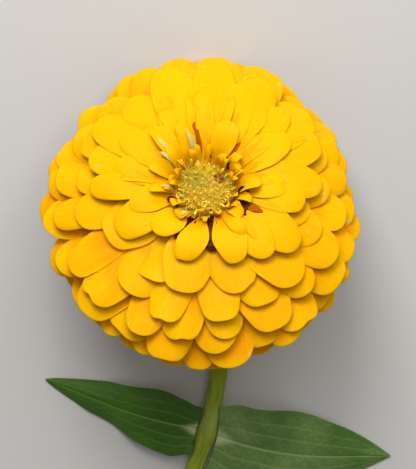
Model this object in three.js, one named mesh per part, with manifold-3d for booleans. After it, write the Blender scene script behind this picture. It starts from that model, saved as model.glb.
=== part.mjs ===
// A large yellow double zinnia, cut with a short leafy stem and laid down on a surface.
// The bloom leans on the petals of its lower rim, and the stem and its pair of leaves lie behind it.
// Millimetres, +Z up, the surface at z = 0. The bloom faces +Y and up, and the stem runs towards -Y.

import * as THREE from 'three';
import { mergeVertices } from 'three/addons/utils/BufferGeometryUtils.js';
import Module from 'manifold-3d';

const wasm = await Module();
wasm.setup();
const { Manifold, Mesh: SolidMesh } = wasm;

const { degToRad, lerp, smoothstep } = THREE.MathUtils;

// Driving dimensions.

const gap = 0.3; // between neighbouring pieces
const goldenAngle = degToRad(137.50776);

const head = {
  axisElevation: 48, // degrees; the way the bloom faces
  discHeight: 53.6, // centre of the disc above the surface
};

// Where a value is a pair, it runs from the back row of petals to the row nearest the disc, and what
// begins with uneven is the most that a seeded draw adds or takes away.
const bloom = {
  petals: 94,
  radius: 51, // of the widest ring of petal tips
  depth: 19.5, // of that ring behind the disc
  domeFront: 23.5, // how far the tips rise in front of that ring
  domeBack: 27, // how far they reach behind it
  tipAngle: [-38, 46], // degrees round the side of the bloom
  crowding: 1.12, // above 1, the rows near the disc stand closer
  lopsided: 0.03, // the left side is fuller than the right
  oval: 0.035, // and the bloom is a little longer from its upper to its lower rim
  rootRadius: [10.5, 7.8],
  rootHeight: [-19, -4.8],
  leave: [-22, 58], // degrees; a petal's slope at its root
  arrive: [-66, -22], // and at its tip
  width: [15, 12.5],
  claw: [0.2, 0.16], // share of its width at the root
  arch: [2.3, 1.2],
  unevenTurn: 4.5,
  unevenReach: 0.03,
  unevenHeight: 0.9,
  unevenArrive: 6,
  unevenWidth: 0.1,
  unevenRoll: 7,
  unevenArch: 0.35,
  // Rows of points from root to tip: how far along, and the places across.
  rows: [
    [0, [-1, 1]],
    [0.42, [-1, 0, 1]],
    [0.84, [-1, 0, 1]],
    [1, [-0.84, -0.46, 0, 0.46, 0.84]],
  ],
};

// What all petals share.
const petalForm = {
  thickness: 0.65,
  leaveReach: 0.42, // shares of the span that the middle line keeps its first and last slope for
  arriveReach: 0.4,
  widest: 0.8, // share of the length
  tipNarrowing: 0.12,
  channel: 0.7, // depth of the groove at the root
  slack: 1.1, // length over span
  blunt: 2.3,
  unevenBlunt: 0.5,
  round: 0.95,
  unevenRound: 0.15,
  unevenBend: 1.4,
};

// The innermost petals stand round the disc in no order: the way each points, in degrees from the right
// and anticlockwise, then its reach, width, tip height, slope at the tip, roll, arch and share of its width
// at the root. A negative arch curls the edges up.
const heart = {
  rootRadius: 8.4,
  rootHeight: -4.2,
  leave: 60,
  broad: [
    [181, 36.5, 10.5, -0.4, -18, -6, 1.2, 0.4],
    [161, 38.5, 14.5, -1.4, -16, 6, 1.3, 0.4],
    [128, 39.5, 13.5, -1.2, -12, -6, 1.0, 0.4],
    [110, 33.5, 12.5, 1.6, -8, 6, 0.9, 0.4],
    [91, 34.5, 10.5, 1.8, -8, -6, 0.8, 0.4],
    [72, 37.5, 14.5, 0.6, -8, 6, 0.9, 0.4],
    [47, 37.0, 14.0, 0.0, -10, -8, 1.0, 0.4],
    [25, 40.5, 15.0, -2.0, -14, 6, 1.1, 0.4],
    [4, 37.0, 13.0, -1.0, -16, 5, 1.2, 0.4],
    [330, 35.5, 14.0, -0.8, -20, -3, 1.3, 0.3],
    [311, 31.0, 11.5, 0.8, -22, 4, 1.2, 0.3],
    [207, 31.5, 12.5, 0.2, -20, -5, 1.2, 0.4],
    [147, 31.0, 10.5, 2.0, -12, 6, 1.0, 0.4],
    [31, 31.0, 12.0, 2.6, -10, -6, 1.1, 0.4],
    [1, 27.5, 10.5, 3.0, -12, -8, 1.4, 0.4],
    [346, 32.0, 10.5, 1.6, -16, 6, 1.2, 0.3],
    [295, 27.5, 11.0, 2.2, -22, 4, 1.3, 0.25],
    [259, 26.0, 9.8, 2.4, -24, -3, 1.5, 0.25],
    [232, 22.8, 9.8, 3.0, -24, 8, 1.3, 0.3],
    [195, 24.8, 9.2, 3.0, -16, -8, 1.4, 0.4],
  ],
  small: [
    [246, 17.0, 5.0, 3.8, -22, 30, -1.0, 0.4],
    [303, 21.8, 4.6, 3.9, -24, 16, 0.8, 0.4],
    [319, 16.0, 4.4, 3.2, -14, 12, -1.5, 0.4],
    [359, 17.6, 6.2, 5.2, -6, -16, -1.8, 0.4],
    [44, 14.5, 3.2, 5.0, 4, -20, -1.2, 0.5],
    [68, 22.0, 8.6, 5.6, -4, -4, 0.6, 0.4],
    [88, 26.0, 6.6, 4.6, -2, 10, 0.7, 0.4],
    [112, 21.5, 5.2, 5.4, -2, -16, -1.0, 0.4],
    [135, 16.6, 5.0, 5.2, 2, -14, -1.4, 0.4],
    [158, 18.5, 5.0, 4.6, -6, -14, -0.8, 0.4],
    [184, 17.5, 3.8, 4.4, -6, 22, -1.2, 0.4],
    [217, 13.0, 3.8, 3.8, -26, 30, -1.2, 0.4],
  ],
  smallRows: [
    [0, [-1, 1]],
    [0.5, [-1, 0, 1]],
    [1, [-0.8, 0, 0.8]],
  ],
};

const receptacle = {
  backRadius: 11.8,
  backDepth: 21,
  sideDepth: 17,
  rimRadius: 8.9,
  rimDepth: 3.2,
  recessRadius: 7.3,
  recessDepth: 4.6,
  sides: 20,
};

const disc = {
  radius: 6.9,
  wallTop: -2.6,
  crown: 0.2, // height of the dome under the florets
  shoulders: [[0.75, 0.6], [0.4, 0.93]], // of the dome: shares of its radius and of its height
  sides: 14,
  florets: 38,
  floretSides: 5,
  floretRadius: 0.9,
  floretHeight: 2.6,
  floretFlare: [0.75, 1.25], // of its mouth, from the middle of the disc to the edge
  floretFoot: 0.55,
  floretSunk: 0.3, // share of its height by which its middle stands over the dome
  edge: 0.9, // kept clear inside the rim
  fall: 2.2,
  lean: 26, // degrees outwards at the edge
  unevenLean: 9,
  unevenHeight: 0.35,
};

const involucre = {
  rimRadius: 11.4,
  footRadius: 4.2,
  depth: 13, // from its rim to the top of the stem
  swell: 0.8, // below 1, the cup widens sooner
  wallAt: [0, 0.15, 0.35, 0.6, 1],
  sides: 20,
  tiers: 3,
  bractsPerTier: 8,
  bractLength: 7.6,
  bractWidth: 9,
  bractThickness: 0.8,
  bractFoot: 0.6, // height of the lowest tier
  bractSunk: 0.55, // into the cup at its foot
  bractProud: 1.25, // how much further out its tip stands
  bractRounding: 2, // how much lower its corners are than its tip
  bractNarrow: 0.7, // share of its width at foot and tip
  rows: [
    [0, [-1, 1]],
    [0.6, [-1, 0, 1]],
    [1, [-0.5, 0, 0.5]],
  ],
};

const stem = {
  radius: 3,
  sides: 10,
  steps: 30,
  // The swollen top under the bloom, as [share of the stem's radius, height over its foot].
  flareLength: 7,
  flareFoot: [0.9, -2],
  flareCollar: [1.05, 1.5],
  // The joint where the leaves grow.
  nodeRadius: 3.5,
  nodeLength: 8,
  nodeShoulder: 0.8,
  nodeFoot: 0.9,
  // From the bloom to the joint and on to the cut end; the first point follows from the bloom.
  route: [
    [2.0, -40, 15.2],
    [5.0, -61, 6.2],
    [4.6, -84, 3.6],
  ],
  node: [0.4, -108, 4.1],
  end: [-9.2, -138, 2.8],
};

const leafShape = {
  thickness: 0.7,
  acrossAt: [-1, -0.78, -0.5, -0.22, 0, 0.22, 0.5, 0.78, 1],
  rows: 12,
  baseShare: 0.76, // of the full width, at the base
  baseLength: 0.14,
  tipWidth: 0.25,
  crestFrom: 0.28, // where on its arch the spine leaves the joint
  crestRun: 0.8,
  crestPower: 1.2,
  channel: 2.2, // how far the edges stand above the midrib at the base
  droop: 4.6, // and how far they hang below it further out
  droopFrom: 0.1,
  droopTo: 0.5,
  waves: 17, // radians of edge wave along the leaf
  waveSkew: 1.4,
};

// base is where a leaf starts from the joint, hug how far the two corners of its base move away from the
// stem, and taper where it starts to narrow and the two powers of its outline.
const leaves = [
  {
    name: 'leaf_left', length: 55.8, width: 23, heading: 162, bow: -3.6, base: [-3.9, 2], hug: [0.6, -1.2],
    taper: [0.2, 1.15, 0.8], crest: 5.5, wave: 1.3, phase: 0.6,
  },
  {
    name: 'leaf_right', length: 62.5, width: 31, heading: -9, bow: 10, base: [4.2, -0.6], hug: [-2.4, -1],
    taper: [0.32, 2, 1], crest: 6, wave: 1.5, phase: 2.1,
  },
];

// Helpers.

// The value of a pair at this share of the way between its two ends.
const between = ([from, to], share) => lerp(from, to, share);

// A repeatable draw from -1 to 1 for item i and trait k.
function draw(i, k) {
  const v = Math.sin(i * 12.9898 + k * 78.233) * 43758.5453;
  return 2 * (v - Math.floor(v)) - 1;
}

function solidOf(geometry) {
  const bare = geometry.clone();
  bare.deleteAttribute('normal');
  bare.deleteAttribute('uv');
  const merged = mergeVertices(bare, 1e-5);
  return new Manifold(new SolidMesh({
    numProp: 3,
    vertProperties: new Float32Array(merged.attributes.position.array),
    triVerts: new Uint32Array(merged.index.array),
  }));
}

// The solid's largest body, so that loose scraps and sealed hollows drop out.
function geometryOf(solid) {
  const body = solid.decompose().reduce((a, b) => (b.volume() > a.volume() ? b : a));
  const { vertProperties, triVerts } = body.getMesh();
  const geometry = new THREE.BufferGeometry();
  geometry.setAttribute('position', new THREE.BufferAttribute(vertProperties, 3));
  geometry.setIndex(new THREE.BufferAttribute(triVerts, 1));
  geometry.computeVertexNormals();
  return geometry;
}

// A closed round piece about Z from its profile of [radius, height] pairs, listed from the foot up.
function turned(profile, sides) {
  const points = profile.map(([radius, height]) => new THREE.Vector2(radius, height));
  return new THREE.LatheGeometry(points, sides).rotateX(Math.PI / 2);
}

// A thin closed blade from rows of [along, [across, ...]], listed from root to tip. pointAt gives its
// upper and lower surface points, and both surfaces are split into triangles the same way.
function blade(rows, pointAt) {
  const pairs = rows.flatMap(([along, acrossAt]) => acrossAt.map((across) => pointAt(across, along)));
  const under = pairs.length;
  const index = [];
  const starts = [];
  let start = 0;
  rows.forEach(([, acrossAt]) => {
    starts.push(start);
    start += acrossAt.length;
  });
  const face = (a, b, c) => index.push(a, b, c, under + a, under + c, under + b);
  for (let row = 0; row < rows.length - 1; row += 1) {
    const [near, far] = [rows[row][1], rows[row + 1][1]];
    let [i, j] = [0, 0];
    while (i < near.length - 1 || j < far.length - 1) {
      const [a, d] = [starts[row] + i, starts[row + 1] + j];
      const step = (near[i + 1] ?? Infinity) < (far[j + 1] ?? Infinity);
      face(a, d, step ? a + 1 : d + 1);
      if (step) i += 1;
      else j += 1;
    }
  }
  const lasts = rows.map(([, acrossAt], row) => starts[row] + acrossAt.length - 1);
  const tip = rows.length - 1;
  const border = [
    ...starts.slice(0, -1),
    ...rows[tip][1].map((_, column) => starts[tip] + column).slice(0, -1),
    ...lasts.slice(1).reverse(),
    ...rows[0][1].map((_, column) => column).slice(1).reverse(),
  ];
  border.forEach((from, i) => {
    const to = border[(i + 1) % border.length];
    index.push(from, under + from, under + to, from, under + to, to);
  });
  const points = [...pairs.map((pair) => pair.upper), ...pairs.map((pair) => pair.lower)];
  const geometry = new THREE.BufferGeometry().setFromPoints(points);
  geometry.setIndex(index);
  return geometry;
}

function material(color, roughness) {
  return new THREE.MeshStandardMaterial({ color, roughness, metalness: 0, side: THREE.DoubleSide });
}

const petalYellow = material(0xf9b800, 0.6);
const discYellow = material(0xc2b12c, 0.75);
const bractGreen = material(0x5f7f35, 0.7);
const stemGreen = material(0x77862a, 0.65);
const leafGreen = material(0x446b33, 0.7);

// Frames: the bloom's own frame has its origin at the disc's centre and +Z the way the bloom faces.

const bloomGroup = new THREE.Group();
bloomGroup.position.set(0, 0, head.discHeight);
bloomGroup.rotation.x = degToRad(head.axisElevation - 90);
bloomGroup.updateMatrixWorld();

const surfaceBlock = new THREE.BoxGeometry(400, 400, 100).translate(0, 0, -50);

// The same surface as the bloom's own frame sees it.
function surfaceInBloomFrame() {
  return solidOf(surfaceBlock.clone().applyMatrix4(bloomGroup.matrixWorld.clone().invert()));
}

// Ray florets. Each petal follows a curve from its root in the receptacle to its tip, and the roots
// climb the receptacle in a spiral from the back row to the disc.

// What differs from petal to petal in both lists.
function drawnTraits(i) {
  return {
    blunt: petalForm.blunt + petalForm.unevenBlunt * draw(i, 8),
    bend: petalForm.unevenBend * draw(i, 10),
    round: petalForm.round + petalForm.unevenRound * draw(i, 11),
  };
}

function petalTraits(i) {
  const t = i / (bloom.petals - 1);
  const side = degToRad(between(bloom.tipAngle, t ** bloom.crowding));
  const turn = i * goldenAngle + degToRad(bloom.unevenTurn) * draw(i, 3);
  const reach = 1 + bloom.unevenReach * draw(i, 1) + bloom.oval * Math.sin(turn) ** 2
    - bloom.lopsided * Math.cos(turn);
  const dome = side > 0 ? bloom.domeFront : bloom.domeBack;
  return {
    turn,
    root: [between(bloom.rootRadius, t), between(bloom.rootHeight, t)],
    tip: [
      bloom.radius * Math.cos(side) * reach,
      dome * Math.sin(side) - bloom.depth + bloom.unevenHeight * draw(i, 2),
    ],
    leave: degToRad(between(bloom.leave, t)),
    arrive: degToRad(between(bloom.arrive, t) + bloom.unevenArrive * draw(i, 4)),
    width: between(bloom.width, t) * (1 + bloom.unevenWidth * draw(i, 5)),
    claw: between(bloom.claw, t),
    roll: degToRad(bloom.unevenRoll * draw(i, 6)),
    arch: between(bloom.arch, t) * (1 + bloom.unevenArch * draw(i, 7)),
    ...drawnTraits(i),
  };
}

function heartTraits([turn, reach, width, height, slope, roll, arch, claw], j) {
  return {
    turn: degToRad(turn),
    root: [heart.rootRadius, heart.rootHeight],
    tip: [reach, height],
    leave: degToRad(heart.leave),
    arrive: degToRad(slope),
    width,
    claw,
    roll: degToRad(roll),
    arch,
    ...drawnTraits(bloom.petals + j),
  };
}

// The petal's middle line in the plane through the bloom's axis: x is the radius, y the height.
function middleLine({ root, tip, leave, arrive }) {
  const start = new THREE.Vector2(...root);
  const end = new THREE.Vector2(...tip);
  const span = start.distanceTo(end);
  const slope = (angle, length) => new THREE.Vector2(Math.cos(angle), Math.sin(angle)).multiplyScalar(length);
  const away = slope(leave, petalForm.leaveReach * span);
  const into = slope(arrive, petalForm.arriveReach * span);
  return new THREE.CubicBezierCurve(start, start.clone().add(away), end.clone().sub(into), end);
}

function halfWidth(petal, along) {
  const { widest, tipNarrowing } = petalForm;
  const full = petal.width / 2;
  if (along < widest) {
    return full * lerp(petal.claw, 1, smoothstep(along / widest, 0, 1));
  }
  return full * (1 - tipNarrowing * ((along - widest) / (1 - widest)) ** 2);
}

// How far along its middle line the petal's rounded tip reaches at this place across it.
function tipReach(petal, across) {
  const length = petalForm.slack * Math.hypot(petal.tip[0] - petal.root[0], petal.tip[1] - petal.root[1]);
  const cap = (petal.round * petal.width) / 2 / length;
  return 1 - cap * (1 - Math.sqrt(Math.max(0, 1 - Math.abs(across) ** petal.blunt)));
}

function petalSolid(petal, rows) {
  const line = middleLine(petal);
  const axis = new THREE.Vector3(0, 0, 1);
  return solidOf(blade(rows, (across, along) => {
    const half = halfWidth(petal, along);
    const reached = along * tipReach(petal, across);
    const centre = line.getPoint(reached);
    const ahead = line.getTangent(reached);
    const cup = petal.arch * reached ** 1.5 - petalForm.channel * (1 - reached) ** 1.5;
    const rise = across * half * Math.tan(petal.roll) * reached
      - cup * across ** 2 * Math.sqrt((2 * half) / petal.width);
    const sideways = across * half + petal.bend * reached ** 2;
    const place = (height) => new THREE.Vector3(
      centre.x - ahead.y * height, sideways, centre.y + ahead.x * height,
    ).applyAxisAngle(axis, petal.turn);
    return { upper: place(rise), lower: place(rise - petalForm.thickness) };
  }));
}

function rayFlorets() {
  const r = receptacle;
  const core = solidOf(turned([
    [0, -r.backDepth],
    [r.backRadius, -r.backDepth],
    [r.backRadius, -r.sideDepth],
    [r.rimRadius, -r.rimDepth],
    [r.recessRadius, -r.rimDepth],
    [r.recessRadius, -r.recessDepth],
    [0, -r.recessDepth],
  ], r.sides));
  const petals = Array.from({ length: bloom.petals }, (_, i) => petalSolid(petalTraits(i), bloom.rows));
  const inner = [...heart.broad, ...heart.small].map((petal, j) => (
    petalSolid(heartTraits(petal, j), j < heart.broad.length ? bloom.rows : heart.smallRows)
  ));
  const whole = Manifold.union([core, ...petals, ...inner]).subtract(surfaceInBloomFrame());
  const mesh = new THREE.Mesh(geometryOf(whole), petalYellow);
  mesh.name = 'ray_florets';
  return mesh;
}

// Disc florets: small tubes in a spiral over a low dome, leaning outwards towards its edge.

function floretSolid(i) {
  const share = Math.sqrt((i + 0.5) / disc.florets);
  const tube = new THREE.CylinderGeometry(
    disc.floretRadius * between(disc.floretFlare, share), disc.floretRadius * disc.floretFoot,
    disc.floretHeight, disc.floretSides,
  );
  tube.rotateX(Math.PI / 2).translate(0, 0, disc.floretHeight * disc.floretSunk);
  tube.rotateY(degToRad(disc.lean * share + disc.unevenLean * draw(i, 21)));
  const height = lerp(disc.crown, disc.wallTop, share ** disc.fall) + disc.unevenHeight * draw(i, 22);
  tube.translate((disc.radius - disc.edge) * share, 0, height).rotateZ(i * goldenAngle);
  return solidOf(tube);
}

function discFlorets() {
  const foot = gap - receptacle.recessDepth;
  const shoulders = disc.shoulders.map(([wide, high]) => (
    [disc.radius * wide, lerp(disc.wallTop, disc.crown, high)]
  ));
  const dome = solidOf(turned([
    [0, foot],
    [disc.radius, foot],
    [disc.radius, disc.wallTop],
    ...shoulders,
    [0, disc.crown],
  ], disc.sides));
  const florets = Array.from({ length: disc.florets }, (_, i) => floretSolid(i));
  const mesh = new THREE.Mesh(geometryOf(Manifold.union([dome, ...florets])), discYellow);
  mesh.name = 'disc_florets';
  return mesh;
}

// Involucre: the green cup under the petals, covered in rows of overlapping rounded bracts.

function cupRadius(share) {
  return lerp(involucre.footRadius, involucre.rimRadius, Math.sin((share * Math.PI) / 2) ** involucre.swell);
}

const cupFoot = -receptacle.backDepth - gap - involucre.depth;

function bractSolid(tier, place) {
  const b = involucre;
  const base = (tier * (b.depth - b.bractLength)) / (b.tiers - 1) + b.bractFoot;
  const turn = (2 * Math.PI * (place + tier / 2)) / b.bractsPerTier;
  return solidOf(blade(b.rows, (across, along) => {
    const rounding = b.bractRounding * across ** 2 * along ** 4;
    const height = Math.min(base + along * b.bractLength - rounding, b.depth);
    const out = cupRadius(height / b.depth) + b.bractProud * along - b.bractSunk;
    const half = (b.bractWidth / 2) * lerp(b.bractNarrow, 1, Math.sin(along * Math.PI));
    const angle = turn + (across * half) / out;
    const at = (radius) => new THREE.Vector3(
      radius * Math.cos(angle), radius * Math.sin(angle), cupFoot + height,
    );
    return { upper: at(out - b.bractThickness), lower: at(out) };
  }));
}

function involucreCup() {
  const wall = involucre.wallAt.map((share) => [cupRadius(share), cupFoot + share * involucre.depth]);
  const cup = solidOf(turned([[0, cupFoot], ...wall, [0, cupFoot + involucre.depth]], involucre.sides));
  const bracts = [];
  for (let tier = 0; tier < involucre.tiers; tier += 1) {
    for (let place = 0; place < involucre.bractsPerTier; place += 1) {
      bracts.push(bractSolid(tier, place));
    }
  }
  const mesh = new THREE.Mesh(geometryOf(Manifold.union([cup, ...bracts])), bractGreen);
  mesh.name = 'involucre';
  return mesh;
}

// Stem: one grown piece with a swollen top, the joint that carries the leaves, and a cut end.

function stemFlare(neck, axis) {
  const at = ([share, height]) => [stem.radius * share, height];
  const flare = turned([
    [0, stem.flareFoot[1]],
    at(stem.flareFoot),
    at(stem.flareCollar),
    [involucre.footRadius, stem.flareLength],
    [0, stem.flareLength],
  ], stem.sides);
  const upright = new THREE.Quaternion().setFromUnitVectors(new THREE.Vector3(0, 0, 1), axis);
  return flare.applyQuaternion(upright).translate(...neck.toArray());
}

function stemJoint() {
  const half = stem.nodeLength / 2;
  const foot = stem.radius * stem.nodeFoot;
  const joint = turned([
    [0, -half],
    [foot, -half],
    [stem.nodeRadius, -stem.nodeShoulder],
    [stem.nodeRadius, stem.nodeShoulder],
    [foot, half],
    [0, half],
  ], stem.sides);
  const along = new THREE.Vector3(...stem.end).sub(new THREE.Vector3(...stem.route.at(-1))).normalize();
  joint.applyQuaternion(new THREE.Quaternion().setFromUnitVectors(new THREE.Vector3(0, 0, 1), along));
  return joint.translate(...stem.node);
}

function stemSolid() {
  const top = new THREE.Vector3(0, 0, cupFoot - gap).applyMatrix4(bloomGroup.matrixWorld);
  const axis = new THREE.Vector3(0, 0, 1).transformDirection(bloomGroup.matrixWorld);
  const neck = top.addScaledVector(axis, -stem.flareLength);
  const points = [neck, ...[...stem.route, stem.node, stem.end].map((p) => new THREE.Vector3(...p))];
  const section = new THREE.Shape().absarc(0, 0, stem.radius, 0, 2 * Math.PI);
  const tube = new THREE.ExtrudeGeometry(section, {
    extrudePath: new THREE.CatmullRomCurve3(points),
    steps: stem.steps,
    curveSegments: stem.sides / 2,
    bevelEnabled: false,
  });
  const pieces = [tube, stemFlare(neck, axis), stemJoint()].map(solidOf);
  const whole = Manifold.union(pieces).subtract(solidOf(surfaceBlock));
  const mesh = new THREE.Mesh(geometryOf(whole), stemGreen);
  mesh.name = 'stem';
  return mesh;
}

// Leaves: a clasping pair, broad at the base and pointed, with a channelled midrib and waved edges,
// lying on the surface.

function leafHalfWidth(leaf, along) {
  const [start, power, outline] = leaf.taper;
  const body = lerp(leafShape.baseShare, 1, smoothstep(along, 0, leafShape.baseLength));
  const narrowed = (Math.max(0, along - start) / (1 - start)) ** power;
  return (leaf.width / 2) * body * (1 - narrowed) ** outline + leafShape.tipWidth;
}

// Height of the leaf's underside over the surface.
function leafHeight(leaf, across, along) {
  const form = leafShape;
  const edge = Math.abs(across);
  const arch = Math.sin(Math.PI * Math.min(1, form.crestFrom + along * form.crestRun)) ** form.crestPower;
  const channel = form.channel * edge ** 1.3 * (1 - along) ** 0.7;
  const droop = form.droop * edge ** 2.2 * smoothstep(along, form.droopFrom, form.droopTo);
  const wave = leaf.wave * edge ** 2 * Math.sin(along * form.waves + leaf.phase + across * form.waveSkew);
  return Math.max(0, leaf.crest * arch + channel - droop + wave);
}

function leafSolid(leaf) {
  const heading = degToRad(leaf.heading);
  const ahead = new THREE.Vector3(Math.cos(heading), Math.sin(heading), 0);
  const sideways = new THREE.Vector3(-ahead.y, ahead.x, 0);
  const base = new THREE.Vector3(stem.node[0] + leaf.base[0], stem.node[1] + leaf.base[1], 0);
  const rows = Array.from({ length: leafShape.rows + 1 }, (_, row) => (
    [row / leafShape.rows, leafShape.acrossAt]
  ));
  const shape = blade(rows, (across, along) => {
    const hug = leaf.hug[across < 0 ? 0 : 1] * Math.abs(across) ** 1.6 * (1 - along) ** 4;
    const height = leafHeight(leaf, across, along);
    const lower = base.clone()
      .addScaledVector(ahead, along * leaf.length + hug)
      .addScaledVector(sideways, across * leafHalfWidth(leaf, along) + leaf.bow * (along ** 2 - along))
      .setZ(height);
    return { upper: lower.clone().setZ(height + leafShape.thickness), lower };
  });
  const mesh = new THREE.Mesh(geometryOf(solidOf(shape)), leafGreen);
  mesh.name = leaf.name;
  return mesh;
}

// Assembly, with the origin under the middle of the flower's footprint.

bloomGroup.add(rayFlorets(), discFlorets(), involucreCup());

const group = new THREE.Group();
group.add(bloomGroup, stemSolid(), ...leaves.map(leafSolid));

const footprint = new THREE.Box3().setFromObject(group, true).getCenter(new THREE.Vector3());
group.position.set(-footprint.x, -footprint.y, 0);

export default group;
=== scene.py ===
from math import atan2, cos, dist, exp, floor, hypot, log1p, pi, radians, sin, sqrt, tan

import bmesh
import bpy
from mathutils import Matrix, Vector


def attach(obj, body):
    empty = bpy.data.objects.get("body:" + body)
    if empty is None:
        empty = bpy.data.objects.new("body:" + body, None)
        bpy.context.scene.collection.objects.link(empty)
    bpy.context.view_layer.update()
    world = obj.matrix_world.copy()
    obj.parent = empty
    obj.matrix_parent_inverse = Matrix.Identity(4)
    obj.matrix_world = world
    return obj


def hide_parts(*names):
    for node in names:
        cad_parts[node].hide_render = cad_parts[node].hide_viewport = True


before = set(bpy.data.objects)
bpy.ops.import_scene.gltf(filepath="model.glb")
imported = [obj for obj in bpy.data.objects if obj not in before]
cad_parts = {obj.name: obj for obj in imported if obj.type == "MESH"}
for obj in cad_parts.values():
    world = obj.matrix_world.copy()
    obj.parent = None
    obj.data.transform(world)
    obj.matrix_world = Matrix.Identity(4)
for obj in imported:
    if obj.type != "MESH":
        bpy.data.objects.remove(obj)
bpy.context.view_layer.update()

# A yellow double zinnia, cut and laid down. Sizes are in mm until a piece is finished.
mm = 0.001
goldenAngle = radians(137.50776)

# The disc's centre, and the elevation of the way the bloom faces.
flower = dict(x=-4.862, y=55.027, discHeight=53.6, axisElevation=48)

plantFrame = Matrix.Scale(mm, 4) @ Matrix.Translation((flower["x"], flower["y"], 0))
bloomTurn = Matrix.Rotation(radians(flower["axisElevation"] - 90), 4, "X")
bloomFrame = plantFrame @ Matrix.Translation((0, 0, flower["discHeight"])) @ bloomTurn


def mix(a, b, t):
    return a + (b - a) * t


def ease(t):
    t = min(1, max(0, t))
    return t * t * (3 - 2 * t)


def wave(angle):
    return sin(2 * pi * angle)


# A repeatable draw from -1 to 1 for item i and trait k.
def draw(i, k):
    v = sin(i * 12.9898 + k * 78.233) * 43758.5453
    return 2 * (v - floor(v)) - 1


# A factor that strays from 1 by up to spread.
def vary(spread, i, k):
    return 1 + spread * draw(i, k)


# Pieces

def finish(name, bm, materials, node, place=None):
    if place:
        bm.transform(place)
    mesh = bpy.data.meshes.new(name)
    bm.to_mesh(mesh)
    bm.free()
    for face in mesh.polygons:
        face.use_smooth = True
    for material in materials:
        mesh.materials.append(material)
    made = bpy.data.objects.new(name, mesh)
    bpy.context.scene.collection.objects.link(made)
    if node:
        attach(made, "root")
        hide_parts(node)
    return made


def thicken(made, thickness, underMaterial=0):
    wall = made.modifiers.new("wall", "SOLIDIFY")
    wall.thickness = thickness * mm
    wall.offset = -1
    wall.material_offset = underMaterial


def smooth(made):
    soft = made.modifiers.new("soft", "SUBSURF")
    soft.levels = soft.render_levels = 1


def meshWithMap(name):
    bm = bmesh.new()
    bm.loops.layers.uv.new(name)
    return bm


# A grid whose vertices are sent through place(across, along): across runs from -1 to 1, along from 0 to 1.
def mappedGrid(bm, columns, rows, place, traits=()):
    made = bmesh.ops.create_grid(bm, x_segments=columns, y_segments=rows, size=1, calc_uvs=True)["verts"]
    for vert in made:
        vert.co = place(-vert.co.x, (vert.co.y + 1) / 2)
        for layer, value in traits:
            vert[layer] = value


def closeUp(bm, reach=1e-4):
    bmesh.ops.remove_doubles(bm, verts=bm.verts, dist=reach)
    bmesh.ops.recalc_face_normals(bm, faces=bm.faces)


# Turns a profile of radii and heights round the z axis.
def spinProfile(bm, profile, steps):
    verts = [bm.verts.new((radius, 0, height)) for radius, height in profile]
    edges = [bm.edges.new(pair) for pair in zip(verts, verts[1:])]
    bmesh.ops.spin(bm, geom=verts + edges, axis=(0, 0, 1), cent=(0, 0, 0), steps=steps,
                   angle=2 * pi, use_merge=True)


def turnedPiece(name, profile, steps, material, node, place=bloomFrame):
    bm = bmesh.new()
    spinProfile(bm, profile, steps)
    closeUp(bm)
    finish(name, bm, [material], node, place)


# Moves what part holds into bm.
def gather(bm, part):
    mesh = bpy.data.meshes.new("gathered")
    part.to_mesh(mesh)
    part.free()
    bm.from_mesh(mesh)
    bpy.data.meshes.remove(mesh)


# Shader maths: an expression on values adds its Math nodes.

class Value:
    def __init__(self, paint, socket):
        self.paint = paint
        self.socket = socket

    def of(self, output):
        return Value(self.paint, self.socket.node.outputs[output])

    def math(self, operation, *others):
        return self.paint.node("ShaderNodeMath", {"operation": operation}, dict(enumerate(others)))

    def __add__(self, other):
        return self.math("ADD", self, other)

    def __sub__(self, other):
        return self.math("SUBTRACT", self, other)

    def __rsub__(self, other):
        return self.math("SUBTRACT", other, self)

    def __mul__(self, other):
        return self.math("MULTIPLY", self, other)

    def __pow__(self, other):
        return self.math("POWER", self, other)

    def __abs__(self):
        return self.math("ABSOLUTE", self)

    __radd__ = __add__
    __rmul__ = __mul__

    def fraction(self):
        return self.math("FRACT", self)

    def most(self, other):
        return self.math("MAXIMUM", self, other)

    # 0 below low, 1 above high, and smooth between; low may be the larger one.
    def step(self, low, high):
        return self.paint.node("ShaderNodeMapRange", {"interpolation_type": "SMOOTHSTEP"},
                               {"Value": self, "From Min": low, "From Max": high})


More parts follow.
